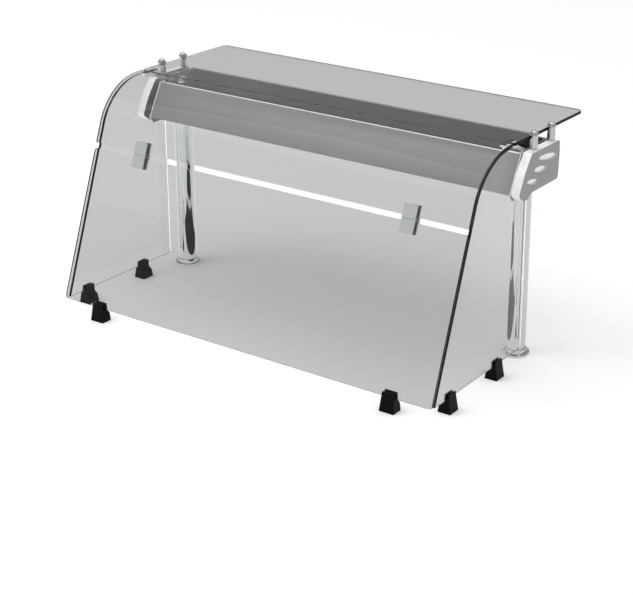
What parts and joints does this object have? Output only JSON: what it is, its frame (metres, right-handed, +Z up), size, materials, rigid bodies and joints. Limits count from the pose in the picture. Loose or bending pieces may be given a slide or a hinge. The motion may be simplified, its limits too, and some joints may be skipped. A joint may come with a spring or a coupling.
{
  "type": "sneeze guard",
  "caption": "Counter-top sneeze guard: leaning front glass with a curved top, level top shelf glass and end panes on posts, clips and a heated canopy.",
  "frame": {"origin": "on the worktop, at the middle of the guard's bounding box", "axes": "+X along the counter to the customer's right, +Y from the customer to the server, +Z up"},
  "size_m": [0.893, 0.52, 0.4489],
  "materials": {
    "polished_steel": "polished stainless steel tube",
    "brushed_steel": "brushed stainless sheet",
    "satin_steel": "satin stainless fittings",
    "glass": "toughened clear glass, polished edges",
    "black_plastic": "moulded black nylon",
    "rubber": "black EPDM rubber",
    "zinc": "bright zinc plate",
    "bright_sheet": "bright reflector sheet",
    "lamp_glass": "quartz tube",
    "ceramic": "white ceramic",
    "grey_plastic": "moulded grey plastic"
  },
  "bodies": {
    "guard": {"post_left": "polished_steel", "base_flange_left": "polished_steel", "post_plug_left": "zinc", "canopy_end_plate_left": "brushed_steel", "end_cap_left": "brushed_steel", "end_gasket_left": "rubber", "end_glass_left": "glass", "lamp_reflector_left": "bright_sheet", "heat_lamp_left": "lamp_glass", "connector_outer_left": "satin_steel", "connector_inner_left": "satin_steel", "glass_bracket_left": "satin_steel", "front_clip_left": "black_plastic", "side_clip_left_front": "black_plastic", "side_clip_left_rear": "black_plastic", "post_right": "polished_steel", "base_flange_right": "polished_steel", "post_plug_right": "zinc", "canopy_end_plate_right": "brushed_steel", "end_cap_right": "brushed_steel", "end_gasket_right": "rubber", "end_glass_right": "glass", "lamp_reflector_right": "bright_sheet", "heat_lamp_right": "lamp_glass", "connector_outer_right": "satin_steel", "connector_inner_right": "satin_steel", "glass_bracket_right": "satin_steel", "front_clip_right": "black_plastic", "side_clip_right_front": "black_plastic", "side_clip_right_rear": "black_plastic", "cable_riser": "zinc", "post_stud": "zinc", "post_lock_nuts": "zinc", "cable_gland": "grey_plastic", "terminal_box": "grey_plastic", "terminal_box_lid": "grey_plastic", "terminal_block": "ceramic", "lamp_holders": "ceramic", "curved_front_glass": "glass", "top_glass": "glass", "fascia": "brushed_steel", "rear_panel": "brushed_steel", "tray": "brushed_steel", "vent_baffles": "bright_sheet", "clamp_pins": "satin_steel", "cap_spacers": "satin_steel", "canopy_screws": "satin_steel", "connector_screws": "satin_steel", "lamp_guards": "satin_steel", "glass_pads": "rubber", "connector_pads": "rubber"},
    "lower_glass": {"lower_front_glass": "glass"},
    "disc_left_front": {"clamp_disc_left_front": "satin_steel"},
    "screw_left_front": {"clamp_screw_left_front": "satin_steel"},
    "disc_left_rear": {"clamp_disc_left_rear": "satin_steel"},
    "screw_left_rear": {"clamp_screw_left_rear": "satin_steel"},
    "disc_right_front": {"clamp_disc_right_front": "satin_steel"},
    "screw_right_front": {"clamp_screw_right_front": "satin_steel"},
    "disc_right_rear": {"clamp_disc_right_rear": "satin_steel"},
    "screw_right_rear": {"clamp_screw_right_rear": "satin_steel"}
  },
  "joints": [
    {"name": "lower_glass_lift", "type": "slide", "parent": "guard", "child": "lower_glass", "axis": [0, 0.3502, 0.9367], "range_m": [0, 0.0096]},
    {"name": "clamp_left_front_rise", "type": "slide", "parent": "guard", "child": "disc_left_front", "axis": [0, 0, 1], "range_m": [0, 0.0016]},
    {"name": "clamp_left_front_turn", "type": "hinge", "parent": "disc_left_front", "child": "screw_left_front", "pos_m": [-0.4345, 0.0635, 0.4432], "axis": [0, 0, 1], "range_deg": [0, 720]},
    {"name": "clamp_left_rear_rise", "type": "slide", "parent": "guard", "child": "disc_left_rear", "axis": [0, 0, 1], "range_m": [0, 0.0016]},
    {"name": "clamp_left_rear_turn", "type": "hinge", "parent": "disc_left_rear", "child": "screw_left_rear", "pos_m": [-0.4345, 0.129, 0.4432], "axis": [0, 0, 1], "range_deg": [0, 720]},
    {"name": "clamp_right_front_rise", "type": "slide", "parent": "guard", "child": "disc_right_front", "axis": [0, 0, 1], "range_m": [0, 0.0016]},
    {"name": "clamp_right_front_turn", "type": "hinge", "parent": "disc_right_front", "child": "screw_right_front", "pos_m": [0.4345, 0.0635, 0.4432], "axis": [0, 0, 1], "range_deg": [0, 720]},
    {"name": "clamp_right_rear_rise", "type": "slide", "parent": "guard", "child": "disc_right_rear", "axis": [0, 0, 1], "range_m": [0, 0.0016]},
    {"name": "clamp_right_rear_turn", "type": "hinge", "parent": "disc_right_rear", "child": "screw_right_rear", "pos_m": [0.4345, 0.129, 0.4432], "axis": [0, 0, 1], "range_deg": [0, 720]}
  ],
  "couplings": [
    {"joint": "clamp_left_front_turn", "follows": "clamp_left_front_rise", "rad_per_m": 7854},
    {"joint": "clamp_left_rear_turn", "follows": "clamp_left_rear_rise", "rad_per_m": 7854},
    {"joint": "clamp_right_front_turn", "follows": "clamp_right_front_rise", "rad_per_m": 7854},
    {"joint": "clamp_right_rear_turn", "follows": "clamp_right_rear_rise", "rad_per_m": 7854}
  ]
}
